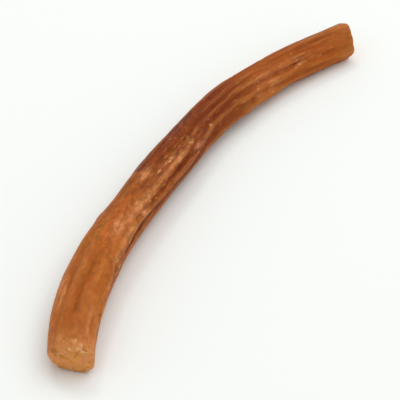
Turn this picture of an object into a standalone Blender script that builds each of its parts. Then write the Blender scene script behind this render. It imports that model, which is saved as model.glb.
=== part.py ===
"""A red ginseng root: one steamed and dried root piece, cut at both ends, lying on a flat surface.

The root is one solid. Its skin is a tube that follows a bent route on the surface, swollen and
tapered along its length, folded by lengthwise furrows, and closed by two knife cuts. Lengths below
are millimetres and angles are degrees. "Along" is the distance along the root from its near cut,
and "around" is the angle about its middle line, from 0 at the top towards the -Y side.
"""

import math
import random

import bmesh
import bpy
import numpy as np
from mathutils import Vector, noise

MM = 0.001
NODE = "ginseng_root"

# Route on the surface: the heading of the middle line, and each bend as (start, length, turn).
# The first bend had begun before the near cut, in the part of the root that was cut away.
LENGTH = 73.0
START_HEADING = 46.0
BENDS = ((-23.0, 59.0, -44.0), (40.0, 30.0, -27.0))
ROUTE_STEP = 0.25

# Thickness across at places along the root, and how much its section is an oval.
GIRTH = ((0.0, 5.45), (12.0, 5.70), (24.0, 5.58), (36.0, 5.35), (48.0, 4.74), (60.0, 4.75), (73.0, 4.60))
OVAL = 0.16
OVAL_AROUND = 50.0
TWIST = 1.1

# Broad folds of the dried body, as (count around, depth, around at the near cut, twist per mm).
FOLDS = ((3, 0.11, 20.0, 1.3), (5, 0.07, 75.0, -0.9), (7, 0.05, 10.0, 1.9))

# How the root lies: it touches at three places, and arches slightly between them.
CONTACTS = (4.5, 37.0, 68.5)
ARCH = 0.32
SINK = 0.11

# Swellings, and hollows where the height is negative, as (along, around, half length, half angle,
# height). The first squares the near cut's lower corner on the -Y side.
SWELLINGS = (
    (0.0, 130.0, 6.0, 30.0, 0.36),
    (3.5, -80.0, 4.5, 40.0, 0.26),
    (8.0, 100.0, 9.0, 56.0, 0.14),
    (16.5, 102.0, 7.0, 54.0, 0.28),
    (26.2, -70.0, 4.8, 36.0, -0.37),
    (28.0, 108.0, 3.4, 40.0, 0.12),
    (34.5, -68.0, 4.0, 34.0, 0.20),
    (42.5, 124.0, 3.2, 36.0, -0.22),
    (52.5, 96.0, 3.5, 28.0, 0.16),
    (57.0, -58.0, 5.6, 34.0, -0.46),
    (58.2, 122.0, 3.5, 32.0, 0.36),
)

# Furrows worth naming, as (start, end, around at start, around at end, half width, depth). The lips
# are as high as this share of the depth, this many half widths from its middle. A furrow eases out
# over this share of its half length, and sways by this angle as it runs along.
FURROWS = (
    (4.0, 15.5, -2.0, 9.0, 0.60, 0.15),
    (8.0, 31.0, 94.0, 74.0, 0.38, 0.10),
    (22.0, 41.0, 54.0, 60.0, 0.36, 0.22),
    (26.0, 49.0, 92.0, 76.0, 0.38, 0.10),
    (56.0, 72.0, -2.0, 5.0, 0.36, 0.12),
    (50.0, 68.0, 12.0, 18.0, 0.36, 0.14),
    (39.0, 61.0, 35.0, 46.0, 0.36, 0.15),
    (49.0, 71.0, 80.0, 92.0, 0.40, 0.18),
    (12.0, 34.0, -82.0, -70.0, 0.55, 0.20),
    (32.0, 64.0, -70.0, -80.0, 0.55, 0.30),
    (3.0, 30.0, -98.0, -112.0, 0.55, 0.36),
    (40.0, 71.0, -128.0, -112.0, 0.50, 0.34),
    (6.0, 27.0, 128.0, 141.0, 0.50, 0.34),
    (33.0, 66.0, 132.0, 121.0, 0.50, 0.30),
)
FURROW_LIP = 0.38
LIP_AT = 1.9
FURROW_FADE = 0.4
SWAY = 2.5
SWAY_SPACING = 18.2

# Lesser wrinkles, drawn at random with a fixed seed. Each may begin before the near cut by this
# share of its length, and on the smooth stretch they are shallower by the last share.
SEED = 431
WRINKLES = 46
WRINKLE_LENGTH = (7.0, 20.0)
WRINKLE_HALF_WIDTH = (0.30, 0.46)
WRINKLE_DEPTH = (0.03, 0.12)
WRINKLE_BEFORE = 0.3
WRINKLES_CALMED = 0.8
WANDER = 5.0
WANDER_SPACING = 9.0

# Scars of fine side roots, as (along, around, half width, height), and the shares of the height and
# half width that the pit in each takes.
SCARS = (
    (52.5, 84.0, 1.00, 0.26),
    (42.5, 36.0, 0.95, 0.16),
    (31.8, -8.0, 0.80, 0.10),
    (24.0, -112.0, 1.10, 0.34),
    (12.0, -128.0, 0.90, 0.40),
    (43.5, 150.0, 0.80, 0.30),
    (58.0, -96.0, 0.80, 0.34),
    (71.0, -14.0, 0.90, 0.22),
)
SCAR_PIT = 0.45
PIT_WIDTH = 0.45

# Rough skin between the furrows.
ROUGHNESS = 0.05
ROUGH_GRAIN = (0.22, 0.9)

# The smooth stretch of skin by the near cut, as its end along, its middle around and half its width.
SMOOTH_STRETCH = (44.0, -22.0, 74.0)
SMOOTH_EASE = 0.5

# Knife cuts at the two ends: lean of the face, where around it leans, how far its rim is rounded
# and where around it is rounder, and the swell of its middle.
NEAR_CUT = {"lean": 10.0, "around": 55.0, "edge": 0.50, "rounder": -120.0, "dome": 0.18}
FAR_CUT = {"lean": 10.0, "around": -15.0, "edge": 0.32, "rounder": 140.0, "dome": 0.12}
CUT_REACH = 7.0
EDGE_SPREAD = 0.45
FACE_ROUGHNESS = 0.07
FACE_GRAIN = 1.1

# Mesh resolution.
SIDES = 46
BODY_STEP = 0.92
EDGE_STEPS = (0.0, 0.12, 0.38, 0.75)
FACE_RINGS = (0.72, 0.42, 0.16)
UNDERSIDE_SAMPLES = 61

SKIN_COLOUR = (0.40, 0.125, 0.030, 1.0)
SKIN_ROUGHNESS = 0.48


def clear_scene():
    for obj in list(bpy.data.objects):
        bpy.data.objects.remove(obj, do_unlink=True)


def smoothstep(x):
    x = np.clip(x, 0.0, 1.0)
    return x * x * (3.0 - 2.0 * x)


def heading(along):
    """Direction of the middle line on the surface, in radians from +X."""
    turned = sum(turn * smoothstep((along - start) / length) for start, length, turn in BENDS)
    return np.radians(START_HEADING + turned)


def route(along):
    """The middle line's x and y at the given distances, found by walking along its heading."""
    walk = np.arange(0.0, LENGTH + ROUTE_STEP, ROUTE_STEP)
    way = heading(walk + ROUTE_STEP / 2)
    x = np.concatenate([[0.0], np.cumsum(np.cos(way) * ROUTE_STEP)])[: len(walk)]
    y = np.concatenate([[0.0], np.cumsum(np.sin(way) * ROUTE_STEP)])[: len(walk)]
    return np.interp(along, walk, x), np.interp(along, walk, y)


def half_girth(along):
    """Half the thickness, easing smoothly from one girth to the next."""
    places, girths = np.array(GIRTH).T
    found = np.clip(np.searchsorted(places, along, side="right") - 1, 0, len(places) - 2)
    share = smoothstep((along - places[found]) / (places[found + 1] - places[found]))
    return (girths[found] + share * (girths[found + 1] - girths[found])) / 2


def arch(along):
    """How far the underside is lifted between the places where the root touches."""
    near, middle, far = CONTACTS
    low = np.where(along < middle, near, middle)
    high = np.where(along < middle, middle, far)
    between = np.clip((along - low) / (high - low), 0.0, 1.0)
    return ARCH * np.sin(math.pi * between) ** 2


def turn_between(around, other):
    """The signed angle from other to around, in radians, the short way round."""
    return (around - other + math.pi) % (2 * math.pi) - math.pi


def swellings(along, around):
    """Low, broad swellings and hollows of the body."""
    relief = np.zeros_like(along)
    for place, at, half_length, half_angle, height in SWELLINGS:
        off_around = np.degrees(turn_between(around, math.radians(at))) / half_angle
        relief += height * np.exp(-(((along - place) / half_length) ** 2) - off_around**2)
    return relief


def groove(across, half_width, depth):
    """A furrow's section: a valley with a low lip on each side."""
    valley = np.exp(-((across / half_width) ** 2))
    lips = np.exp(-((np.abs(across) / half_width - LIP_AT) ** 2))
    return depth * (FURROW_LIP * lips - valley)


def ends_fade(along, start, end):
    """1 along a furrow, easing to 0 at its two ends."""
    middle, half = (start + end) / 2, (end - start) / 2
    return smoothstep((half - np.abs(along - middle)) / (FURROW_FADE * half))


def furrows(along, around, half):
    relief = np.zeros_like(along)
    for start, end, from_around, to_around, half_width, depth in FURROWS:
        share = (along - start) / (end - start)
        sway = SWAY * np.sin(2 * math.pi * along / SWAY_SPACING + start)
        middle = np.radians(from_around + share * (to_around - from_around) + sway)
        across = turn_between(around, middle) * half
        relief += groove(across, half_width, depth) * ends_fade(along, start, end)
    return relief


def calm(along, around):
    """1 on the smooth stretch by the near cut, easing to 0 on the rest of the skin."""
    end, middle, half_width = SMOOTH_STRETCH
    off = np.degrees(turn_between(around, math.radians(middle))) / half_width
    return smoothstep((end - along) / (SMOOTH_EASE * end)) * np.exp(-(off**4))


def wrinkles(along, around, half):
    draw = random.Random(SEED)
    relief = np.zeros_like(along)
    for _ in range(WRINKLES):
        length = draw.uniform(*WRINKLE_LENGTH)
        start = draw.uniform(0.0, LENGTH) - WRINKLE_BEFORE * length
        first_around = math.radians(draw.uniform(-180.0, 180.0))
        half_width = draw.uniform(*WRINKLE_HALF_WIDTH)
        depth = draw.uniform(*WRINKLE_DEPTH)
        phase = draw.uniform(0.0, 2 * math.pi)
        wander = math.radians(WANDER) * np.sin(2 * math.pi * along / WANDER_SPACING + phase)
        across = turn_between(around, first_around + wander) * half
        relief += groove(across, half_width, depth) * ends_fade(along, start, start + length)
    return relief * (1 - WRINKLES_CALMED * calm(along, around))


def scars(along, around, half):
    relief = np.zeros_like(along)
    for place, at, half_width, height in SCARS:
        apart = np.hypot(along - place, turn_between(around, math.radians(at)) * half) / half_width
        relief += height * (np.exp(-(apart**2)) - SCAR_PIT * np.exp(-((apart / PIT_WIDTH) ** 2)))
    return relief


def rough_skin(along, around, half):
    """Low, lengthwise noise, the same at both sides of the seam."""
    grain_along, grain_across = ROUGH_GRAIN
    across_x, across_y = np.cos(around) * half * grain_across, np.sin(around) * half * grain_across
    points = np.stack([along * grain_along, across_x, across_y], axis=-1).reshape(-1, 3)
    values = np.array([noise.noise(Vector(point)) for point in points])
    return ROUGHNESS * values.reshape(along.shape)


def skin_radius(along, around):
    """Distance from the middle line to the skin, without the cuts."""
    half = half_girth(along)
    oval = OVAL * np.cos(2 * (around - np.radians(OVAL_AROUND + TWIST * along)))
    folds = sum(
        depth * np.cos(count * (around - np.radians(at + twist * along)))
        for count, depth, at, twist in FOLDS
    )
    body = half + oval + folds + swellings(along, around)
    relief = furrows(along, around, half) + wrinkles(along, around, half) + scars(along, around, half)
    return body + relief + rough_skin(along, around, half)


def cut_edge(cut, around):
    """How much of the rim is rounded off, which varies around the cut."""
    return cut["edge"] * (1 + EDGE_SPREAD * np.cos(around - math.radians(cut["rounder"])))


def rounded_off(from_cut, edge):
    """How far the skin draws in, this far from the cut, to round its rim."""
    short = np.clip(1 - from_cut / edge, 0.0, 1.0)
    return edge * (1 - np.sqrt(1 - short**2))


def lean(cut, radius, around, from_cut):
    """How far the skin is drawn along the root by the cut's lean, fading inwards from the cut."""
    slope = math.tan(math.radians(cut["lean"])) * smoothstep(1 - from_cut / CUT_REACH)
    return slope * radius * np.cos(around - math.radians(cut["around"]))


def underside(along):
    """How far the skin reaches below the middle line."""
    below = np.linspace(math.pi / 2, 3 * math.pi / 2, UNDERSIDE_SAMPLES)
    station, around = np.meshgrid(along, below, indexing="ij")
    return (-np.cos(around) * skin_radius(station, around)).max(axis=1)


def middle_height(along):
    """Height of the middle line, at which the skin just touches the surface at each contact."""
    contacts = np.array(CONTACTS)
    beyond_girth = underside(contacts) - half_girth(contacts)
    return half_girth(along) + np.interp(along, contacts, beyond_girth) - SINK + arch(along)


def place(along, around, radius, slide):
    """Points of the root at these distances, angles and radii, moved along it by slide."""
    x, y = route(along)
    way = heading(along)
    side, rise = np.sin(around) * radius, np.cos(around) * radius
    points = np.stack(
        [
            x + np.cos(way) * slide + np.sin(way) * side,
            y + np.sin(way) * slide - np.cos(way) * side,
            np.maximum(middle_height(along) + rise, 0.0),
        ],
        axis=-1,
    )
    return points


def body_rings(around, body_step):
    """Rings of points along the skin, from the near cut's rim to the far cut's."""
    inner = np.arange(EDGE_STEPS[-1] + body_step, LENGTH - EDGE_STEPS[-1] - body_step / 2, body_step)
    stations = np.concatenate([EDGE_STEPS, inner, LENGTH - np.array(EDGE_STEPS[::-1])])
    along, angle = np.meshgrid(stations, around, indexing="ij")
    radius = skin_radius(along, angle)
    radius -= rounded_off(along, cut_edge(NEAR_CUT, angle))
    radius -= rounded_off(LENGTH - along, cut_edge(FAR_CUT, angle))
    slide = lean(FAR_CUT, radius, angle, LENGTH - along) - lean(NEAR_CUT, radius, angle, along)
    return list(place(along, angle, radius, slide)), radius[0], radius[-1]


def face_rings(cut, along, outwards, around, rim_radius, shares):
    """Rings of one cut's face, from inside its rim to its middle."""
    rings = []
    for share in shares:
        radius = rim_radius * share
        station = np.full_like(around, along)
        spots = np.stack([radius * np.cos(around), radius * np.sin(around), station], axis=-1)
        grain = np.array([noise.noise(Vector(spot * FACE_GRAIN)) for spot in spots])
        relief = cut["dome"] * (1 - share**2) + FACE_ROUGHNESS * grain * (1 - share)
        slide = outwards * (relief + lean(cut, radius, around, 0.0))
        rings.append(place(station, around, radius, slide))
    return rings


def root_rings(sides, body_step, face_shares):
    """Every ring of the root in order, from the near face's middle to the far face's."""
    around = np.linspace(0.0, 2 * math.pi, sides, endpoint=False)
    body, near_rim, far_rim = body_rings(around, body_step)
    near = face_rings(NEAR_CUT, 0.0, -1, around, near_rim, face_shares)
    far = face_rings(FAR_CUT, LENGTH, 1, around, far_rim, face_shares)
    return near[::-1] + body + far


def skin_over(mesh, rings):
    """Joins each ring to the next with quads, and closes the first and last with a fan."""
    loops = [[mesh.verts.new(point) for point in ring] for ring in rings]
    sides = len(loops[0])
    for first, second in zip(loops, loops[1:]):
        for i in range(sides):
            j = (i + 1) % sides
            mesh.faces.new((first[i], first[j], second[j], second[i]))
    for loop in (loops[0], loops[-1]):
        middle = mesh.verts.new(sum((v.co for v in loop), Vector()) / sides)
        for i in range(sides):
            mesh.faces.new((middle, loop[i], loop[(i + 1) % sides]))
    bmesh.ops.recalc_face_normals(mesh, faces=mesh.faces)


def skin_material():
    material = bpy.data.materials.new("root_skin")
    material.use_nodes = True
    shader = material.node_tree.nodes["Principled BSDF"]
    shader.inputs["Base Color"].default_value = SKIN_COLOUR
    shader.inputs["Roughness"].default_value = SKIN_ROUGHNESS
    shader.inputs["Metallic"].default_value = 0.0
    return material


def build_root():
    rings = np.array(root_rings(SIDES, BODY_STEP, FACE_RINGS))
    low, high = rings.min(axis=(0, 1)), rings.max(axis=(0, 1))
    rings -= (*(low + high)[:2] / 2, low[2])
    mesh = bmesh.new()
    skin_over(mesh, rings * MM)
    data = bpy.data.meshes.new(NODE)
    mesh.to_mesh(data)
    mesh.free()
    data.shade_smooth()
    data.materials.append(skin_material())
    root = bpy.data.objects.new(NODE, data)
    bpy.context.scene.collection.objects.link(root)
    return root


clear_scene()
build_root()
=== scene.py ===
"""A red ginseng root, steamed, dried and cut at both ends, on a pale surface in soft light.

The root's shape is the solid's own formula, drawn far more finely, with creases, flaky skin and
torn fibres added. Lengths are millimetres and angles are degrees. "Along" is the distance along
the root from its near cut, and "around" is the angle about its middle line, from 0 at the top
towards the -Y side.
"""

import math
import random

import bpy
import numpy as np
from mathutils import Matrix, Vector, noise


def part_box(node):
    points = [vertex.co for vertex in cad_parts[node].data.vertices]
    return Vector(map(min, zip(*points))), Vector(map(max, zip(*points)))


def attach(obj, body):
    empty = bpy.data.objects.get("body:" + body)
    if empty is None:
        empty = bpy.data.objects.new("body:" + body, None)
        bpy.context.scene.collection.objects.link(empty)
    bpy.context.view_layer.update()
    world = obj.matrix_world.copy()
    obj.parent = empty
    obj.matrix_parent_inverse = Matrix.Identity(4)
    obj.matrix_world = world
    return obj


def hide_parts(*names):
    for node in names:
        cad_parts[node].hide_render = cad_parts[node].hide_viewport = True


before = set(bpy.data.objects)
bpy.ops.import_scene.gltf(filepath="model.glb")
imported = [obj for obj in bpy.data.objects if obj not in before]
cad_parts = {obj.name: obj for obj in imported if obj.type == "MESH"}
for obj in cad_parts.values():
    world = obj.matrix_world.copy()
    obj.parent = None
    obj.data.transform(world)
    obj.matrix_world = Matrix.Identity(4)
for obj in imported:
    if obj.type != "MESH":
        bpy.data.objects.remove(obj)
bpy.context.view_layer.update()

MM = 0.001
NODE = "ginseng_root"

# The solid root's route, thickness, folds and way of lying.
LENGTH = 73.0
START_HEADING = 46.0
BENDS = ((-23.0, 59.0, -44.0), (40.0, 30.0, -27.0))
ROUTE_STEP = 0.25
GIRTH = ((0.0, 5.45), (12.0, 5.70), (24.0, 5.58), (36.0, 5.35), (48.0, 4.74), (60.0, 4.75), (73.0, 4.60))
OVAL = 0.16
OVAL_AROUND = 50.0
TWIST = 1.1
FOLDS = ((3, 0.11, 20.0, 1.3), (5, 0.07, 75.0, -0.9), (7, 0.05, 10.0, 1.9))
CONTACTS = (4.5, 37.0, 68.5)
ARCH = 0.32
SINK = 0.11

# Its swellings, furrows, wrinkles and side-root scars.
SWELLINGS = (
    (0.0, 130.0, 6.0, 30.0, 0.36),
    (3.5, -80.0, 4.5, 40.0, 0.26),
    (8.0, 100.0, 9.0, 56.0, 0.14),
    (16.5, 102.0, 7.0, 54.0, 0.28),
    (26.2, -70.0, 4.8, 36.0, -0.37),
    (28.0, 108.0, 3.4, 40.0, 0.12),
    (34.5, -68.0, 4.0, 34.0, 0.20),
    (42.5, 124.0, 3.2, 36.0, -0.22),
    (52.5, 96.0, 3.5, 28.0, 0.16),
    (57.0, -58.0, 5.6, 34.0, -0.46),
    (58.2, 122.0, 3.5, 32.0, 0.36),
)
FURROWS = (
    (4.0, 15.5, -2.0, 9.0, 0.60, 0.15),
    (8.0, 31.0, 94.0, 74.0, 0.38, 0.10),
    (22.0, 41.0, 54.0, 60.0, 0.36, 0.22),
    (26.0, 49.0, 92.0, 76.0, 0.38, 0.10),
    (56.0, 72.0, -2.0, 5.0, 0.36, 0.12),
    (50.0, 68.0, 12.0, 18.0, 0.36, 0.14),
    (39.0, 61.0, 35.0, 46.0, 0.36, 0.15),
    (49.0, 71.0, 80.0, 92.0, 0.40, 0.18),
    (12.0, 34.0, -82.0, -70.0, 0.55, 0.20),
    (32.0, 64.0, -70.0, -80.0, 0.55, 0.30),
    (3.0, 30.0, -98.0, -112.0, 0.55, 0.36),
    (40.0, 71.0, -128.0, -112.0, 0.50, 0.34),
    (6.0, 27.0, 128.0, 141.0, 0.50, 0.34),
    (33.0, 66.0, 132.0, 121.0, 0.50, 0.30),
)
FURROW_LIP = 0.38
LIP_AT = 1.9
FURROW_FADE = 0.4
SWAY = 2.5
SWAY_SPACING = 18.2
SEED = 431
WRINKLES = 46
WRINKLE_LENGTH = (7.0, 20.0)
WRINKLE_HALF_WIDTH = (0.30, 0.46)
WRINKLE_DEPTH = (0.03, 0.12)
WRINKLE_BEFORE = 0.3
WRINKLES_CALMED = 0.8
WANDER = 5.0
WANDER_SPACING = 9.0
SCARS = (
    (52.5, 84.0, 1.00, 0.26),
    (42.5, 36.0, 0.95, 0.16),
    (31.8, -8.0, 0.80, 0.10),
    (24.0, -112.0, 1.10, 0.34),
    (12.0, -128.0, 0.90, 0.40),
    (43.5, 150.0, 0.80, 0.30),
    (58.0, -96.0, 0.80, 0.34),
    (71.0, -14.0, 0.90, 0.22),
)
SCAR_PIT = 0.45
PIT_WIDTH = 0.45
ROUGHNESS = 0.05
ROUGH_GRAIN = (0.22, 0.9)

# The smooth stretch of skin by the near cut, as its end along, its middle around and half its width.
SMOOTH_STRETCH = (44.0, -22.0, 74.0)
SMOOTH_EASE = 0.5
# The cuts: lean and its side, rounding of the rim and its side, bulge, torn side, pale skin beside it.
NEAR_CUT = {
    "lean": 10.0,
    "around": 55.0,
    "edge": 0.50,
    "rounder": -120.0,
    "dome": 0.18,
    "torn": 26.0,
    "pale": 1.0,
}
FAR_CUT = {
    "lean": 10.0,
    "around": -15.0,
    "edge": 0.32,
    "rounder": 140.0,
    "dome": 0.12,
    "torn": -60.0,
    "pale": 0.45,
}
CUT_REACH = 7.0
EDGE_SPREAD = 0.45

# Dark lines at the bottom of the furrows, broken up by noise.
LINE_HALF_WIDTH = 0.26
LINE_FULL_DEPTH = 0.30
LINE_POWER = 1.5
LINE_GRAIN = (0.55, 2.4)
LINE_LEVEL = 0.75
LINE_CONTRAST = 1.6

# Creases that only the fine skin has, as (grain along, grain across, width, depth).
CREASES = ((0.09, 1.0, 0.17, 0.055), (0.15, 2.0, 0.20, 0.040), (0.30, 3.6, 0.24, 0.022))
CRINKLE = 0.014
CRINKLE_GRAIN = (1.3, 0.7)
CREASES_CALMED = 0.93
# How far apart the creases' noises are, and where the other patterns lie in the noise.
CREASE_SHIFT = 40.0
SHIFTS = {
    "crinkle": 9.0,
    "line": 31.0,
    "flakes": 77.0,
    "pits": 143.0,
    "wax_and_sheen": 55.0,
    "stain_and_shade": 21.0,
    "gold": 33.0,
    "ember": 47.0,
}
# Steps to either side, along and around, over which the skin is averaged to find its hollows.
HOLLOW_STEPS = (6, 8)

# Specks on the skin: their noise as (grain along, grain across, share), and where it starts to show.
SPECK_GRAINS = ((0.7, 2.2, 1.0), (1.7, 4.9, 0.7), (3.6, 8.0, 0.4))
SPECK_CUT = 0.76
SPECK_SOFTNESS = 0.55
# Pale flakes, and where they are thick, as (along, around, half length, half angle, strength).
FLAKE_HEIGHT = 0.024
FLAKE_PATCHES = (
    (38.5, 36.0, 4.0, 14.0, 0.42),
    (33.0, 16.0, 5.0, 26.0, 0.44),
    (27.0, 50.0, 5.0, 14.0, 0.46),
    (12.0, 70.0, 9.0, 12.0, 0.72),
    (21.0, 66.0, 4.0, 9.0, 0.50),
    (58.0, 70.0, 9.0, 20.0, 0.34),
    (43.0, 22.0, 7.0, 30.0, 0.26),
    (40.6, 14.0, 3.0, 16.0, 0.30),
    (62.0, 30.0, 8.0, 40.0, 0.28),
    (0.4, 14.0, 0.9, 30.0, 0.66),
    (50.0, -120.0, 9.0, 40.0, 0.50),
    (14.0, 160.0, 9.0, 40.0, 0.46),
)
# Brown pits, listed alike.
PIT_DEPTH = 0.030
PIT_PATCHES = (
    (13.0, 76.0, 11.0, 12.0, 0.70),
    (30.0, 88.0, 12.0, 12.0, 0.60),
    (24.0, 34.0, 7.0, 26.0, 0.34),
    (36.0, 18.0, 8.0, 34.0, 0.42),
    (47.0, 40.0, 8.0, 40.0, 0.44),
    (63.0, 34.0, 9.0, 26.0, 0.46),
    (1.2, 40.0, 2.0, 50.0, 0.50),
    (22.0, -100.0, 14.0, 30.0, 0.46),
    (55.0, 150.0, 12.0, 50.0, 0.46),
)

# Tinted patches of skin, listed alike: pale and waxy ones that are partly painted sheen highlights, dark
# reddish brown ones that are partly painted shade from neighbouring roots, golden and orange-red ones.
WAX_AND_SHEEN_PATCHES = (
    (21.2, 23.0, 2.2, 12.0, 1.90),
    (26.4, 38.0, 2.0, 11.0, 1.50),
    (26.0, 63.0, 0.7, 7.0, 1.60),
    (31.6, -6.0, 1.2, 12.0, 1.60),
    (35.0, 18.0, 2.6, 10.0, 0.24),
    (34.2, 40.0, 2.4, 6.0, 0.90),
    (37.6, 38.0, 1.6, 8.0, 0.50),
    (30.4, 40.0, 2.0, 7.0, 0.80),
    (23.2, 42.0, 1.6, 6.0, 0.50),
    (20.0, 55.0, 3.2, 5.0, 1.10),
    (41.6, 60.0, 1.8, 9.0, 0.90),
    (1.0, -32.0, 1.0, 16.0, 1.20),
    (1.2, 44.0, 2.0, 16.0, 0.90),
    (6.0, 42.0, 2.2, 9.0, 0.70),
    # A painted highlight along the left ridge.
    (9.0, -56.0, 1.8, 9.0, 1.50),
    (12.0, -62.0, 8.0, 12.0, 0.42),
    (57.2, 35.0, 1.9, 6.0, 1.00),
    (61.0, 46.0, 6.0, 9.0, 0.45),
    (64.0, 55.0, 2.6, 5.0, 1.30),
    (63.2, 43.5, 1.6, 3.5, 1.00),
    (64.2, 31.0, 1.5, 4.0, 0.90),
    (58.0, 66.0, 1.5, 5.0, 0.80),
    (56.0, 84.0, 4.0, 9.0, 0.70),
    (20.0, 150.0, 8.0, 30.0, 0.40),
    (47.0, -110.0, 7.0, 26.0, 0.40),
)
STAINS_AND_SHADE = (
    (7.6, -2.0, 4.6, 11.0, 0.60),
    (21.0, 84.0, 6.0, 14.0, 0.80),
    (29.0, 84.0, 5.0, 16.0, 0.70),
    (37.0, 84.0, 6.0, 16.0, 0.50),
    (39.6, 35.0, 2.2, 5.0, 1.00),
    (28.8, 18.0, 1.8, 9.0, 0.50),
    # Painted shade: the neighbouring roots' shadow along the root's left side.
    (44.0, -48.0, 10.0, 36.0, 1.90),
    (33.0, -56.0, 8.0, 26.0, 2.00),
    # Partly painted shade from neighbouring roots and partly darker skin, at the top of the far end.
    (66.0, -26.0, 9.0, 22.0, 0.80),
    (63.0, 49.5, 1.6, 3.2, 1.50),
    (63.7, 37.5, 1.7, 3.2, 1.50),
    (57.2, 50.0, 1.8, 7.0, 0.90),
    (24.0, 76.0, 8.0, 9.0, 0.90),
    (47.0, 36.0, 4.5, 26.0, 0.70),
    (14.2, 90.0, 4.0, 12.0, 0.60),
    (16.0, 178.0, 10.0, 30.0, 0.50),
    (62.0, -140.0, 9.0, 40.0, 0.50),
)
GOLDS = (
    (6.2, -40.0, 3.2, 12.0, 0.80),
    (13.2, -22.0, 2.0, 9.0, 1.10),
    (19.4, -12.0, 1.8, 8.0, 1.40),
    (22.4, -20.0, 1.4, 8.0, 1.00),
    (9.0, 70.0, 7.0, 11.0, 0.50),
    (23.0, 78.0, 5.0, 12.0, 0.70),
    (50.0, 76.0, 6.0, 11.0, 0.40),
    (29.0, -24.0, 2.8, 14.0, 0.90),
    (40.0, 17.0, 3.4, 15.0, 0.70),
    (37.4, 40.0, 1.8, 9.0, 0.50),
    (54.0, 122.0, 3.4, 24.0, 1.00),
    (71.5, 70.0, 2.2, 50.0, 0.70),
    (34.0, -120.0, 9.0, 30.0, 0.50),
)
EMBERS = (
    (1.0, -36.0, 1.0, 14.0, 0.90),
    (11.0, -40.0, 2.2, 10.0, 0.80),
    (24.5, 0.0, 4.5, 14.0, 0.70),
    (32.0, 68.0, 3.6, 9.0, 0.60),
    (18.0, 4.0, 1.4, 7.0, 0.90),
    (52.0, -30.0, 5.0, 16.0, 0.20),
    (60.0, 40.0, 3.0, 14.0, 0.60),
    (66.0, 50.0, 7.0, 40.0, 0.60),
    (40.0, 178.0, 8.0, 30.0, 0.50),
)
TINT_GRAINS = ((0.6, 1.4, 0.8), (2.0, 4.2, 0.4))
TINT_LEVEL = 0.6

# Cut faces: fibres from the middle outwards, the ring between core and bark, and the torn rim.
FIBRES = 0.05
FIBRE_COUNT = 9.0
FIBRE_GRAIN = 1.6
FIBRE_LINE = 2.0
RING_AT = 0.60
RING_WIDTH = 0.06
RING_HEIGHT = 0.02
RING_LINE = 0.5
TORN_RIM = 0.06
TORN_FROM = 0.62
TORN_SPREAD = 34.0
CRUMB_GRAIN = 1.2
CRUMB_CUT = 0.50
CRUMB_SOFTNESS = 0.4
FACE_GRAIN = 1.5
FACE_ROUGHNESS = 0.05
# How much the skin looks like the cut: distances from the rim, and the share at each.
RIM_FADE = ((0.0, 0.5, 1.4, 4.0), (0.8, 0.4, 0.2, 0.0))

# Mesh resolution.
SIDES = 168
BODY_STEP = 0.136
EDGE_STEPS = (0.0, 0.05, 0.11, 0.18, 0.26, 0.36, 0.48, 0.62)
UNDERSIDE_SAMPLES = 61
FACE_SHARES = (0.97, 0.92, 0.85, 0.77, 0.69, 0.64, 0.60, 0.56, 0.48, 0.38, 0.28, 0.18, 0.09)

# Camera: the point that it looks at, its distance, and the direction that it looks along.
LOOK_AT = (-3.57, -3.27, 3.0)
CAMERA_DISTANCE = 350.0
CAMERA_ELEVATION = 43.0
CAMERA_HEADING = 31.14
FRAME_WIDTH = 51.0
SENSOR = 36.0
CLIP = (0.01, 10.0)

# Floor and light, in metres and watts.
FLOOR_HALF = 1.5
FLOOR_DROP = 0.00001
FLOOR_SETTINGS = {
    "Base Color": (0.92, 0.94, 0.92, 1.0),
    "Roughness": 0.6,
    "Specular IOR Level": 0.2,
}
STUDIO_COLOUR = (0.99, 1.0, 0.99, 1.0)
STUDIO_STRENGTH = 0.70
KEY_LIGHT = {
    "heading_degrees": CAMERA_HEADING + 18.0,
    "elevation": 56.0,
    "distance": 0.6,
    "size": 0.16,
    "power": 0.4,
    "colour": (1.0, 0.985, 0.96),
}
SIDE_LIGHT = {
    "heading_degrees": CAMERA_HEADING - 60.0,
    "elevation": 62.0,
    "distance": 0.8,
    "size": 0.8,
    "power": 2.3,
    "colour": (0.98, 0.99, 1.0),
}


def srgb(red, green, blue):
    """A linear colour from 0 to 255 screen values."""
    parts = [value / 255 for value in (red, green, blue)]
    return tuple(p / 12.92 if p <= 0.04045 else ((p + 0.055) / 1.055) ** 2.4 for p in parts) + (1.0,)


def smoothstep(x):
    x = np.clip(x, 0.0, 1.0)
    return x * x * (3.0 - 2.0 * x)


def heading(along):
    """Direction of the middle line on the surface, in radians from +X."""
    turned = sum(turn * smoothstep((along - start) / length) for start, length, turn in BENDS)
    return np.radians(START_HEADING + turned)


def route(along):
    """The middle line's x and y at the given distances, found by walking along its heading."""
    walk = np.arange(0.0, LENGTH + ROUTE_STEP, ROUTE_STEP)
    way = heading(walk + ROUTE_STEP / 2)
    x = np.concatenate([[0.0], np.cumsum(np.cos(way) * ROUTE_STEP)])[: len(walk)]
    y = np.concatenate([[0.0], np.cumsum(np.sin(way) * ROUTE_STEP)])[: len(walk)]
    return np.interp(along, walk, x), np.interp(along, walk, y)


def half_girth(along):
    """Half the thickness, easing smoothly from one girth to the next."""
    places, girths = np.array(GIRTH).T
    found = np.clip(np.searchsorted(places, along, side="right") - 1, 0, len(places) - 2)
    share = smoothstep((along - places[found]) / (places[found + 1] - places[found]))
    return (girths[found] + share * (girths[found + 1] - girths[found])) / 2


def arch(along):
    """How far the underside is lifted between the places where the root touches."""
    near, middle, far = CONTACTS
    low = np.where(along < middle, near, middle)
    high = np.where(along < middle, middle, far)
    between = np.clip((along - low) / (high - low), 0.0, 1.0)
    return ARCH * np.sin(math.pi * between) ** 2


def turn_between(around, other):
    """The signed angle from other to around, in radians, the short way round."""
    return (around - other + math.pi) % (2 * math.pi) - math.pi


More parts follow.
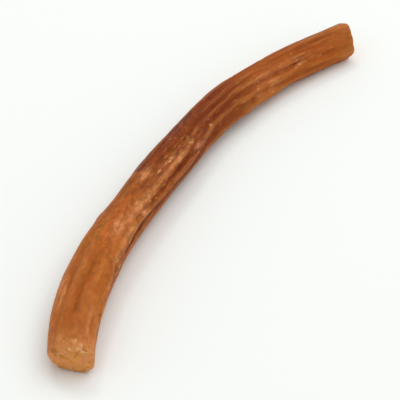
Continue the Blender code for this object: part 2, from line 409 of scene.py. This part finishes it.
def groove(across, half_width, depth):
    """A furrow's section: a valley with a low lip on each side."""
    valley = np.exp(-((across / half_width) ** 2))
    lips = np.exp(-((np.abs(across) / half_width - LIP_AT) ** 2))
    return depth * (FURROW_LIP * lips - valley)


def ends_fade(along, start, end):
    """1 along a furrow, easing to 0 at its two ends."""
    middle, half = (start + end) / 2, (end - start) / 2
    return smoothstep((half - np.abs(along - middle)) / (FURROW_FADE * half))


def across_furrow(along, around, half, furrow):
    """Distance over the skin from a furrow's middle."""
    start, end, from_around, to_around, _, _ = furrow
    share = (along - start) / (end - start)
    sway = SWAY * np.sin(2 * math.pi * along / SWAY_SPACING + start)
    middle = np.radians(from_around + share * (to_around - from_around) + sway)
    return turn_between(around, middle) * half


def furrows(along, around, half):
    relief = np.zeros_like(along)
    for furrow in FURROWS:
        start, end, _, _, half_width, depth = furrow
        across = across_furrow(along, around, half, furrow)
        relief += groove(across, half_width, depth) * ends_fade(along, start, end)
    return relief


def furrow_lines(along, around, half):
    """How dark the skin is at the bottom of each furrow, from 0 to 1, in broken lines."""
    dark = np.zeros_like(along)
    for furrow in FURROWS:
        start, end, _, _, _, depth = furrow
        line = np.exp(-((across_furrow(along, around, half, furrow) / LINE_HALF_WIDTH) ** 2))
        strength = min(depth / LINE_FULL_DEPTH, 1.0) ** LINE_POWER
        dark = np.maximum(dark, line * ends_fade(along, start, end) * strength)
    broken = skin_noise(along, around, half, LINE_GRAIN, SHIFTS["line"])
    return dark * smoothstep(LINE_LEVEL + LINE_CONTRAST * broken)


def calm(along, around):
    """1 on the smooth stretch by the near cut, easing to 0 on the rest of the skin."""
    end, middle, half_width = SMOOTH_STRETCH
    off = np.degrees(turn_between(around, math.radians(middle))) / half_width
    return smoothstep((end - along) / (SMOOTH_EASE * end)) * np.exp(-(off**4))


def wrinkles(along, around, half):
    draw = random.Random(SEED)
    relief = np.zeros_like(along)
    for _ in range(WRINKLES):
        length = draw.uniform(*WRINKLE_LENGTH)
        start = draw.uniform(0.0, LENGTH) - WRINKLE_BEFORE * length
        first_around = math.radians(draw.uniform(-180.0, 180.0))
        half_width = draw.uniform(*WRINKLE_HALF_WIDTH)
        depth = draw.uniform(*WRINKLE_DEPTH)
        phase = draw.uniform(0.0, 2 * math.pi)
        wander = math.radians(WANDER) * np.sin(2 * math.pi * along / WANDER_SPACING + phase)
        across = turn_between(around, first_around + wander) * half
        relief += groove(across, half_width, depth) * ends_fade(along, start, start + length)
    return relief * (1 - WRINKLES_CALMED * calm(along, around))


def scars(along, around, half):
    relief = np.zeros_like(along)
    for place, at, half_width, height in SCARS:
        apart = np.hypot(along - place, turn_between(around, math.radians(at)) * half) / half_width
        relief += height * (np.exp(-(apart**2)) - SCAR_PIT * np.exp(-((apart / PIT_WIDTH) ** 2)))
    return relief


def noise_at(points):
    """Noise from about -1 to 1 at each point."""
    levels = [noise.noise(Vector(point)) for point in points.reshape(-1, 3)]
    return np.array(levels).reshape(points.shape[:-1])


def skin_noise(along, around, half, grain, shift=0.0):
    """Noise over the skin, the same at both sides of the seam."""
    grain_along, grain_across = grain
    across_x, across_y = np.cos(around) * half * grain_across, np.sin(around) * half * grain_across
    return noise_at(np.stack([along * grain_along + shift, across_x, across_y], axis=-1))


def main_radius(along, around):
    """Distance from the middle line to the skin, as in the solid."""
    half = half_girth(along)
    oval = OVAL * np.cos(2 * (around - np.radians(OVAL_AROUND + TWIST * along)))
    folds = sum(
        depth * np.cos(count * (around - np.radians(at + twist * along)))
        for count, depth, at, twist in FOLDS
    )
    body = half + oval + folds + in_patches(along, around, SWELLINGS)
    relief = furrows(along, around, half) + wrinkles(along, around, half) + scars(along, around, half)
    return body + relief + ROUGHNESS * skin_noise(along, around, half, ROUGH_GRAIN)


def creases(along, around, half):
    """Fine lengthwise creases, where stretched noise passes through zero."""
    relief = np.zeros_like(along)
    for number, (grain_along, grain_across, width, depth) in enumerate(CREASES):
        shift = CREASE_SHIFT * (number + 1)
        value = skin_noise(along, around, half, (grain_along, grain_across), shift)
        relief -= depth * np.exp(-((value / width) ** 2))
    crinkle = CRINKLE * skin_noise(along, around, half, CRINKLE_GRAIN, SHIFTS["crinkle"])
    return (relief + crinkle) * (1 - CREASES_CALMED * calm(along, around))


def summed_noise(along, around, half, grains, shift):
    return sum(
        share * skin_noise(along, around, half, (grain_along, grain_across), shift * share)
        for grain_along, grain_across, share in grains
    )


def in_patches(along, around, patches):
    """The strength of the patches, each fading outwards from its middle."""
    amount = np.zeros_like(along)
    for place, at, half_length, half_angle, strength in patches:
        off_around = np.degrees(turn_between(around, math.radians(at))) / half_angle
        amount += strength * np.exp(-(((along - place) / half_length) ** 2) - off_around**2)
    return amount


def specks(along, around, half, patches, shift):
    """Specks drawn out along the root, from 0 to 1, thickest in the patches."""
    level = summed_noise(along, around, half, SPECK_GRAINS, shift) + in_patches(along, around, patches)
    return smoothstep((level - SPECK_CUT) / SPECK_SOFTNESS)


def tint(along, around, half, patches, shift):
    """How strongly the patches tint the skin, from 0 to 1, broken up by noise."""
    broken = TINT_LEVEL + summed_noise(along, around, half, TINT_GRAINS, shift)
    return np.clip(in_patches(along, around, patches) * broken, 0.0, 1.0)


def cut_edge(cut, around):
    """How much of the rim is rounded off, which varies around the cut."""
    return cut["edge"] * (1 + EDGE_SPREAD * np.cos(around - math.radians(cut["rounder"])))


def rounded_off(from_cut, edge):
    """How far the skin draws in, this far from the cut, to round its rim."""
    short = np.clip(1 - from_cut / edge, 0.0, 1.0)
    return edge * (1 - np.sqrt(1 - short**2))


def lean(cut, radius, around, from_cut):
    """How far the skin is drawn along the root by the cut's lean, fading inwards from the cut."""
    slope = math.tan(math.radians(cut["lean"])) * smoothstep(1 - from_cut / CUT_REACH)
    return slope * radius * np.cos(around - math.radians(cut["around"]))


def underside(along):
    """How far the skin reaches below the middle line."""
    below = np.linspace(math.pi / 2, 3 * math.pi / 2, UNDERSIDE_SAMPLES)
    station, around = np.meshgrid(along, below, indexing="ij")
    return (-np.cos(around) * main_radius(station, around)).max(axis=1)


def middle_height(along):
    """Height of the middle line, at which the skin just touches the surface at each contact."""
    contacts = np.array(CONTACTS)
    beyond_girth = underside(contacts) - half_girth(contacts)
    return half_girth(along) + np.interp(along, contacts, beyond_girth) - SINK + arch(along)


def place(along, around, radius, slide):
    """Points of the root at these distances, angles and radii, moved along it by slide."""
    x, y = route(along)
    way = heading(along)
    side, rise = np.sin(around) * radius, np.cos(around) * radius
    points = np.stack(
        [
            x + np.cos(way) * slide + np.sin(way) * side,
            y + np.sin(way) * slide - np.cos(way) * side,
            np.maximum(middle_height(along) + rise, 0.0),
        ],
        axis=-1,
    )
    return points


def blurred(field, steps_along, steps_around):
    """The field's local mean, over a box that wraps around the root."""
    total = np.zeros_like(field)
    for shift in range(-steps_around, steps_around + 1):
        total += np.roll(field, shift, axis=1)
    total /= 2 * steps_around + 1
    padded = np.pad(total, ((steps_along, steps_along), (0, 0)), mode="edge")
    window = 2 * steps_along + 1
    sums = np.cumsum(np.vstack([np.zeros((1, field.shape[1])), padded]), axis=0)
    return (sums[window:] - sums[:-window]) / window


def body_grid():
    """The skin from rim to rim: its points, and what its material reads at each."""
    inner = np.arange(EDGE_STEPS[-1] + BODY_STEP, LENGTH - EDGE_STEPS[-1] - BODY_STEP / 2, BODY_STEP)
    stations = np.concatenate([EDGE_STEPS, inner, LENGTH - np.array(EDGE_STEPS[::-1])])
    angles = np.linspace(0.0, 2 * math.pi, SIDES, endpoint=False)
    along, around = np.meshgrid(stations, angles, indexing="ij")
    half = half_girth(along)
    flakes = specks(along, around, half, FLAKE_PATCHES, SHIFTS["flakes"])
    pits = specks(along, around, half, PIT_PATCHES, SHIFTS["pits"])
    radius = main_radius(along, around) + creases(along, around, half)
    radius += FLAKE_HEIGHT * flakes - PIT_DEPTH * pits
    cavity = radius - blurred(radius, *HOLLOW_STEPS)
    radius -= rounded_off(along, cut_edge(NEAR_CUT, around))
    radius -= rounded_off(LENGTH - along, cut_edge(FAR_CUT, around))
    slide = lean(FAR_CUT, radius, around, LENGTH - along) - lean(NEAR_CUT, radius, around, along)
    paleness = np.where(along < LENGTH / 2, NEAR_CUT["pale"], FAR_CUT["pale"])
    values = {
        "skin": np.stack([along, np.cos(around) * half, np.sin(around) * half], axis=-1),
        "cavity": cavity,
        "flakes": flakes,
        "pits": pits,
        "wax_and_sheen": tint(along, around, half, WAX_AND_SHEEN_PATCHES, SHIFTS["wax_and_sheen"]),
        "stain_and_shade": tint(along, around, half, STAINS_AND_SHADE, SHIFTS["stain_and_shade"]),
        "gold": tint(along, around, half, GOLDS, SHIFTS["gold"]),
        "ember": tint(along, around, half, EMBERS, SHIFTS["ember"]),
        "line": furrow_lines(along, around, half),
        "cut": paleness * np.interp(np.minimum(along, LENGTH - along), *RIM_FADE),
        "ring": np.ones_like(along),
    }
    return place(along, around, radius, slide), values, radius, angles


def face_grid(cut, along, outwards, angles, rim_radius):
    """A cut's face, from inside its rim to near its middle."""
    share, around = np.meshgrid(FACE_SHARES, angles, indexing="ij")
    radius = share * rim_radius
    at_cut = np.full_like(share, along)
    cosine, sine = np.cos(around), np.sin(around)
    fibre_points = [cosine * FIBRE_COUNT, sine * FIBRE_COUNT, share * FIBRE_GRAIN + along]
    fibres = noise_at(np.stack(fibre_points, axis=-1))
    grain_points = np.stack([cosine * radius, sine * radius, at_cut], axis=-1) * FACE_GRAIN
    torn = smoothstep((share - TORN_FROM) / (1 - TORN_FROM))
    torn *= np.exp(-((np.degrees(turn_between(around, math.radians(cut["torn"]))) / TORN_SPREAD) ** 2))
    crumbs = smoothstep((noise_at(grain_points * CRUMB_GRAIN) + torn - CRUMB_CUT) / CRUMB_SOFTNESS)
    ring = np.exp(-(((share - RING_AT) / RING_WIDTH) ** 2))
    relief = cut["dome"] * (1 - share**2) + fibres * FIBRES * np.minimum(share / RING_AT, 1)
    relief += RING_HEIGHT * ring + TORN_RIM * crumbs + FACE_ROUGHNESS * noise_at(grain_points)
    slide = outwards * (relief + lean(cut, radius, around, 0.0))
    values = {
        "skin": np.stack([at_cut, cosine * radius, sine * radius], axis=-1),
        "flakes": crumbs,
        "line": np.clip(RING_LINE * ring + FIBRE_LINE * np.abs(fibres) * share, 0.0, 1.0),
        "cut": np.ones_like(share),
        "ring": share,
    }
    return place(at_cut, around, radius, slide), values


def root_grids():
    """Every ring of the root from the near face's middle to the far face's, with its values."""
    body, body_values, radius, angles = body_grid()
    near, near_values = face_grid(NEAR_CUT, 0.0, -1, angles, radius[0])
    far, far_values = face_grid(FAR_CUT, LENGTH, 1, angles, radius[-1])
    points = np.concatenate([near[::-1], body, far])
    values = {}
    for name, field in body_values.items():
        blank = np.zeros((len(FACE_SHARES), *field.shape[1:]))
        near_field, far_field = near_values.get(name, blank), far_values.get(name, blank)
        values[name] = np.concatenate([near_field[::-1], field, far_field])
    return points, values


def quads(rings):
    """Faces between neighbouring rings, facing out, and a fan at each end."""
    first = np.arange(rings - 1)[:, None] * SIDES + np.arange(SIDES)
    over = np.arange(rings - 1)[:, None] * SIDES + (np.arange(SIDES) + 1) % SIDES
    faces = np.stack([first, over, over + SIDES, first + SIDES], axis=-1).reshape(-1, 4).tolist()
    near_middle, far_middle = rings * SIDES, rings * SIDES + 1
    last = (rings - 1) * SIDES
    for i in range(SIDES):
        j = (i + 1) % SIDES
        faces.append([near_middle, j, i])
        faces.append([last + i, last + j, far_middle])
    return faces


def with_middles(field):
    """The field's rings as a flat list, with the means of the first and last ring at its end."""
    flat = field.reshape(-1, *field.shape[2:])
    return np.concatenate([flat, [field[0].mean(axis=0)], [field[-1].mean(axis=0)]])


def build_root():
    points, values = root_grids()
    low, high = points.min(axis=(0, 1)), points.max(axis=(0, 1))
    cad_low, cad_high = (np.array(corner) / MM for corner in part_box(NODE))
    points[..., :2] += ((cad_low + cad_high) / 2 - (low + high) / 2)[:2]
    mesh = bpy.data.meshes.new("root_skin")
    mesh.from_pydata((with_middles(points) * MM).tolist(), [], quads(len(points)))
    for name, field in values.items():
        flat = with_middles(field)
        kind, key = ("FLOAT_VECTOR", "vector") if flat.ndim == 2 else ("FLOAT", "value")
        mesh.attributes.new(name, kind, "POINT").data.foreach_set(key, flat.astype(np.float32).ravel())
    mesh.shade_smooth()
    mesh.materials.append(root_material())
    root = bpy.data.objects.new("root_piece", mesh)
    bpy.context.scene.collection.objects.link(root)
    return root


class Nodes:
    """Short ways to add shader nodes to a material."""

    def __init__(self, material):
        material.use_nodes = True
        self.tree = material.node_tree
        self.shader = self.tree.nodes["Principled BSDF"]

    def add(self, kind, inputs=None, **settings):
        node = self.tree.nodes.new(kind)
        for name, value in settings.items():
            setattr(node, name, value)
        for name, value in (inputs or {}).items():
            self.set(node.inputs[name], value)
        return node

    def set(self, socket, value):
        if isinstance(value, bpy.types.NodeSocket):
            self.tree.links.new(value, socket)
        else:
            socket.default_value = value

    def set_shader(self, settings):
        """Gives the shader's own sockets these plain values."""
        for name, value in settings.items():
            self.shader.inputs[name].default_value = value

    def attribute(self, name, output):
        return self.add("ShaderNodeAttribute", attribute_name=name).outputs[output]

    def stretched(self, coordinates, scale):
        return self.add("ShaderNodeMapping", {"Vector": coordinates, "Scale": scale}).outputs["Vector"]

    def noise(self, coordinates, scale, detail, roughness, distortion=0.0):
        inputs = {
            "Vector": coordinates,
            "Scale": scale,
            "Detail": detail,
            "Roughness": roughness,
            "Distortion": distortion,
        }
        return self.add("ShaderNodeTexNoise", inputs).outputs["Fac"]

    def between(self, value, low, high, to_low, to_high):
        """Eases from to_low to to_high while the value goes from low to high."""
        inputs = {"Value": value, "From Min": low, "From Max": high, "To Min": to_low, "To Max": to_high}
        return self.add("ShaderNodeMapRange", inputs, interpolation_type="SMOOTHSTEP").outputs["Result"]

    def math(self, operation, first, second):
        node = self.add("ShaderNodeMath", operation=operation)
        self.set(node.inputs[0], first)
        self.set(node.inputs[1], second)
        return node.outputs["Value"]

    def times(self, first, second):
        return self.math("MULTIPLY", first, second)

    def plus(self, first, second):
        return self.math("ADD", first, second)

    def shaded(self, share, colour, value):
        """The colour made darker or lighter by the factor value, as far as the share says."""
        inputs = {"Fac": share, "Color": colour, "Value": value}
        return self.add("ShaderNodeHueSaturation", inputs).outputs["Color"]

    def mix(self, share, first, second):
        """The first colour at share 0, the second at share 1."""
        node = self.add("ShaderNodeMix", data_type="RGBA")
        self.set(node.inputs["Factor"], share)
        self.set(node.inputs["A"], first)
        self.set(node.inputs["B"], second)
        return node.outputs["Result"]


AMBER = srgb(174, 94, 28)
RUST = srgb(140, 58, 14)
BRICK = srgb(118, 46, 10)
OCHRE = srgb(198, 124, 50)
OXBLOOD = srgb(94, 30, 4)
EMBER = srgb(184, 76, 14)
GOLD = srgb(170, 104, 30)
UMBER = srgb(112, 62, 20)
# Pale waxy colour, also used for painted sheen highlights.
WAX_AND_SHEEN = srgb(214, 142, 90)
FLAKE = srgb(210, 152, 96)
FLESH = srgb(224, 156, 92)
FLESH_CORE = srgb(220, 148, 72)
PINK = srgb(226, 144, 98)
RIM_PALE = srgb(238, 188, 134)

# What the material reads from the mesh, and how strongly some of it colours the skin.
READ_VALUES = ("cavity", "flakes", "pits", "wax_and_sheen", "stain_and_shade", "gold", "ember", "line", "cut", "ring")
STRENGTHS = {"ember": 0.6, "gold": 0.7, "stain_and_shade": 0.7, "line": 0.5, "pits": 0.6}
# Its noises, as (scale along, scale across, detail, roughness, distortion).
NOISES = {
    "patches": (0.16, 0.42, 3.0, 0.55, 0.0),
    "streaks": (0.13, 2.2, 4.0, 0.6, 0.3),
    "hairlines": (0.52, 5.0, 4.0, 0.65, 0.3),
    "hues": (0.34, 0.85, 3.0, 0.55, 0.0),
    "fine": (0.9, 6.0, 3.0, 0.6, 0.0),
    "mottle": (1.1, 2.0, 4.0, 0.6, 0.3),
}
# The noise of the cut flesh, as (scale, detail, roughness).
PULP_NOISE = (1.1, 4.0, 0.6)
# Stretches over which the colouring changes, as (start, end, share at the start, share at the end).
MOTTLED_OVER = (5.0, 26.0, 0.45, 1.0)
MARKED_OVER = (8.0, 34.0, 0.16, 0.46)
DARKER_OVER = (19.0, 40.0, 0.0, 0.85)
UNMOTTLED_OVER = (36.0, 54.0, 1.0, 0.2)
FINER_OVER = (38.0, 52.0, 0.25, 0.8)
CALMER_OVER = (44.0, 58.0, 1.0, 0.55)
LIGHTER_OVER = (49.0, 58.0, 1.0, 0.22)
REDDER_OVER = (54.0, 64.0, 0.0, 0.14)
# Layers of the skin's colour: the two values between which each comes in, and its shares at them.
RUST_PATCHES = (0.45, 0.70, 0.0, 0.35)
EMBER_HUES = (0.53, 0.70, 0.0, 0.30)
GOLD_HUES = (0.47, 0.32, 0.0, 0.25)
STAIN_AND_SHADE_CORES = (0.60, 1.0, 0.0, 0.50)
LIGHT_LINES = (0.52, 0.70, 0.0, 1.0)
DARK_LINES = (0.47, 0.30, 0.0, 1.0)
# Painted shade in the hollows and painted highlights on the ridges, by how far the skin sinks or stands
# out.
PAINTED_HOLLOW_SHADE = (0.0, -0.20, 0.0, 0.40)
PAINTED_RIDGE_HIGHLIGHTS = (0.01, 0.10, 0.0, 0.30)
WAX_AND_SHEEN_GRAIN = (0.30, 0.65, 0.58, 0.85)
FLAKE_GRAIN = (0.35, 0.60, 0.25, 0.80)
# Mottling, with factors of brightness in place of shares.
MOTTLING = (0.30, 0.70, 0.72, 1.26)
# Layers of the flesh's colour, listed like the skin's.
BARK_FLESH = (0.45, 0.70, 0.0, 0.60)
GOLDEN_FLESH = (0.50, 0.70, 0.0, 0.60)
PINK_FLESH = (0.52, 0.36, 0.0, 0.80)
SPOTTED_RIM = (0.74, 1.0, 0.0, 1.0)
RIM_SPOTS = (0.46, 0.66, 0.0, 0.42)
FIBRES_SHOWN = 0.3
CRUMBS_SHOWN = 0.7

# Roughness: what the streaks give it, and what hollows, flakes and cuts add.
STREAKED_GLOSS = (0.30, 0.70, 0.38, 0.52)
DULL_HOLLOWS = (0.0, -0.08, 0.0, 0.30)
DULL_FLAKES = 0.35
DULL_CUTS = 0.15
# The finest relief, with its height in metres, and the skin's shine and translucency.
BUMP = {"Strength": 0.5, "Distance": 0.00012}
BUMP_STREAKS = 0.6
BUMP_FINE = 0.4
SKIN_SETTINGS = {
    "IOR": 1.48,
    "Specular IOR Level": 0.13,
    "Subsurface Weight": 0.25,
    "Subsurface Radius": (1.0, 0.36, 0.10),
    "Subsurface Scale": 0.0008,
}


def read_mesh(n):
    """The values that the mesh carries at each point, by name."""
    read = {name: n.attribute(name, "Fac") for name in READ_VALUES}
    read["skin"] = n.attribute("skin", "Vector")
    read["along"] = n.add("ShaderNodeSeparateXYZ", {"Vector": read["skin"]}).outputs["X"]
    return read


def skin_noises(n, skin):
    noises = {}
    for name, (scale_along, scale_across, *settings) in NOISES.items():
        stretched = n.stretched(skin, (scale_along, scale_across, scale_across))
        noises[name] = n.noise(stretched, 1.0, *settings)
    return noises


def broad_colour(n, read, noises):
    """The skin's broad tones, darker along the middle of the root, with its tinted patches; the dark
    reddish brown ones are partly painted shade from neighbouring roots.
    """
    along, stain_and_shade = read["along"], read["stain_and_shade"]
    colour = n.mix(n.between(noises["patches"], *RUST_PATCHES), AMBER, RUST)
    colour = n.mix(n.between(noises["hues"], *EMBER_HUES), colour, EMBER)
    colour = n.mix(n.between(noises["hues"], *GOLD_HUES), colour, GOLD)
    darker = n.times(n.between(along, *DARKER_OVER), n.between(along, *LIGHTER_OVER))
    colour = n.mix(darker, colour, BRICK)
    colour = n.mix(n.times(read["ember"], STRENGTHS["ember"]), colour, EMBER)
    colour = n.mix(n.times(read["gold"], STRENGTHS["gold"]), colour, GOLD)
    colour = n.mix(n.between(along, *REDDER_OVER), colour, RUST)
    # Dark reddish brown stains, partly painted shade, which deepen to oxblood where strongest.
    colour = n.mix(n.times(stain_and_shade, STRENGTHS["stain_and_shade"]), colour, BRICK)
    return n.mix(n.between(stain_and_shade, *STAIN_AND_SHADE_CORES), colour, OXBLOOD)


def lined_colour(n, read, noises, colour):
    """The skin with lengthwise light and dark lines, painted shade in its hollows and painted highlights
    on its ridges.
    """
    along, cavity = read["along"], read["cavity"]
    fine_share = n.between(along, *FINER_OVER)
    broad_share = n.math("SUBTRACT", 1.0, fine_share)
    lines = n.plus(n.times(noises["hairlines"], fine_share), n.times(noises["streaks"], broad_share))
    calmer = n.between(along, *CALMER_OVER)
    marked = n.times(n.between(along, *MARKED_OVER), calmer)
    colour = n.mix(n.times(n.between(lines, *LIGHT_LINES), marked), colour, OCHRE)
    colour = n.mix(n.times(n.between(lines, *DARK_LINES), marked), colour, RUST)
    # Painted shade in the hollows, then painted highlights on the ridges.
    colour = n.mix(n.times(n.between(cavity, *PAINTED_HOLLOW_SHADE), calmer), colour, OXBLOOD)
    colour = n.mix(n.between(cavity, *PAINTED_RIDGE_HIGHLIGHTS), colour, OCHRE)
    return n.mix(n.times(read["line"], STRENGTHS["line"]), colour, OXBLOOD)


def speckled_colour(n, read, noises, colour):
    """The skin with pale waxy patches that are partly painted sheen highlights, brown pits, pale flakes
    and mottling.
    """
    along, fine = read["along"], noises["fine"]
    # Pale waxy patches, partly painted sheen highlights.
    colour = n.mix(n.times(read["wax_and_sheen"], n.between(fine, *WAX_AND_SHEEN_GRAIN)), colour, WAX_AND_SHEEN)
    colour = n.mix(n.times(read["pits"], STRENGTHS["pits"]), colour, UMBER)
    colour = n.mix(n.times(read["flakes"], n.between(fine, *FLAKE_GRAIN)), colour, FLAKE)
    mottled = n.times(n.between(along, *MOTTLED_OVER), n.between(along, *UNMOTTLED_OVER))
    return n.shaded(mottled, colour, n.between(noises["mottle"], *MOTTLING))


def flesh_colour(n, read):
    """A cut's flesh: golden and pink, paler outside its ring, with fibres, brown spots and crumbs."""
    ring = read["ring"]
    pulp = n.noise(read["skin"], *PULP_NOISE)
    flesh = n.mix(n.between(ring, *BARK_FLESH), FLESH_CORE, FLESH)
    flesh = n.mix(n.between(pulp, *GOLDEN_FLESH), flesh, GOLD)
    flesh = n.mix(n.between(pulp, *PINK_FLESH), flesh, PINK)
    rim_spots = n.times(n.between(ring, *SPOTTED_RIM), n.between(pulp, *RIM_SPOTS))
    flesh = n.mix(rim_spots, flesh, UMBER)
    flesh = n.mix(n.times(read["line"], FIBRES_SHOWN), flesh, RUST)
    return n.mix(n.times(read["flakes"], CRUMBS_SHOWN), flesh, RIM_PALE)


def skin_roughness(n, read, noises):
    """Semi-gloss in streaks, duller in hollows, on flakes and on the cuts."""
    rough = n.between(noises["streaks"], *STREAKED_GLOSS)
    rough = n.plus(rough, n.between(read["cavity"], *DULL_HOLLOWS))
    rough = n.plus(rough, n.times(read["flakes"], DULL_FLAKES))
    return n.plus(rough, n.times(read["cut"], DULL_CUTS))


def root_material():
    material = bpy.data.materials.new("root_skin")
    n = Nodes(material)
    read = read_mesh(n)
    noises = skin_noises(n, read["skin"])
    colour = lined_colour(n, read, noises, broad_colour(n, read, noises))
    colour = speckled_colour(n, read, noises, colour)
    n.set(n.shader.inputs["Base Color"], n.mix(read["cut"], colour, flesh_colour(n, read)))
    n.set(n.shader.inputs["Roughness"], skin_roughness(n, read, noises))
    height = n.plus(n.times(noises["streaks"], BUMP_STREAKS), n.times(noises["fine"], BUMP_FINE))
    bump = n.add("ShaderNodeBump", {**BUMP, "Height": height})
    n.set(n.shader.inputs["Normal"], bump.outputs["Normal"])
    n.set_shader(SKIN_SETTINGS)
    return material


def floor():
    mesh = bpy.data.meshes.new("floor")
    half = FLOOR_HALF
    corners = [(-half, -half, 0), (half, -half, 0), (half, half, 0), (-half, half, 0)]
    mesh.from_pydata(corners, [], [(0, 1, 2, 3)])
    material = bpy.data.materials.new("pale_floor")
    Nodes(material).set_shader(FLOOR_SETTINGS)
    mesh.materials.append(material)
    ground = bpy.data.objects.new("floor", mesh)
    ground.location.z = -FLOOR_DROP
    bpy.context.scene.collection.objects.link(ground)


def heading_vector(degrees, elevation):
    """A unit vector that points this way from +X and this far above the horizon."""
    turn, rise = math.radians(degrees), math.radians(elevation)
    return Vector((math.cos(turn) * math.cos(rise), math.sin(turn) * math.cos(rise), math.sin(rise)))


def camera():
    data = bpy.data.cameras.new("camera")
    data.sensor_width = SENSOR
    data.lens = SENSOR * CAMERA_DISTANCE / FRAME_WIDTH
    data.clip_start, data.clip_end = CLIP
    eye = bpy.data.objects.new("camera", data)
    back = heading_vector(CAMERA_HEADING + 180.0, CAMERA_ELEVATION)
    eye.location = (Vector(LOOK_AT) + back * CAMERA_DISTANCE) * MM
    eye.rotation_mode = "QUATERNION"
    eye.rotation_quaternion = (-back).to_track_quat("-Z", "Y")
    bpy.context.scene.collection.objects.link(eye)
    bpy.context.scene.camera = eye


def soft_light(name, heading_degrees, elevation, distance, size, power, colour):
    data = bpy.data.lights.new(name, "AREA")
    data.shape = "DISK"
    data.size = size
    data.energy = power
    data.color = colour
    lamp = bpy.data.objects.new(name, data)
    way = heading_vector(heading_degrees, elevation)
    lamp.location = way * distance
    lamp.rotation_mode = "QUATERNION"
    lamp.rotation_quaternion = way.to_track_quat("Z", "Y")
    bpy.context.scene.collection.objects.link(lamp)


def lights():
    world = bpy.data.worlds.new("studio")
    world.use_nodes = True
    background = world.node_tree.nodes["Background"]
    background.inputs["Color"].default_value = STUDIO_COLOUR
    background.inputs["Strength"].default_value = STUDIO_STRENGTH
    bpy.context.scene.world = world
    soft_light("key", **KEY_LIGHT)
    soft_light("side", **SIDE_LIGHT)


bpy.context.scene.view_settings.view_transform = "Standard"
camera()
floor()
lights()
root = build_root()
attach(root, "root")
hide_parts(NODE)
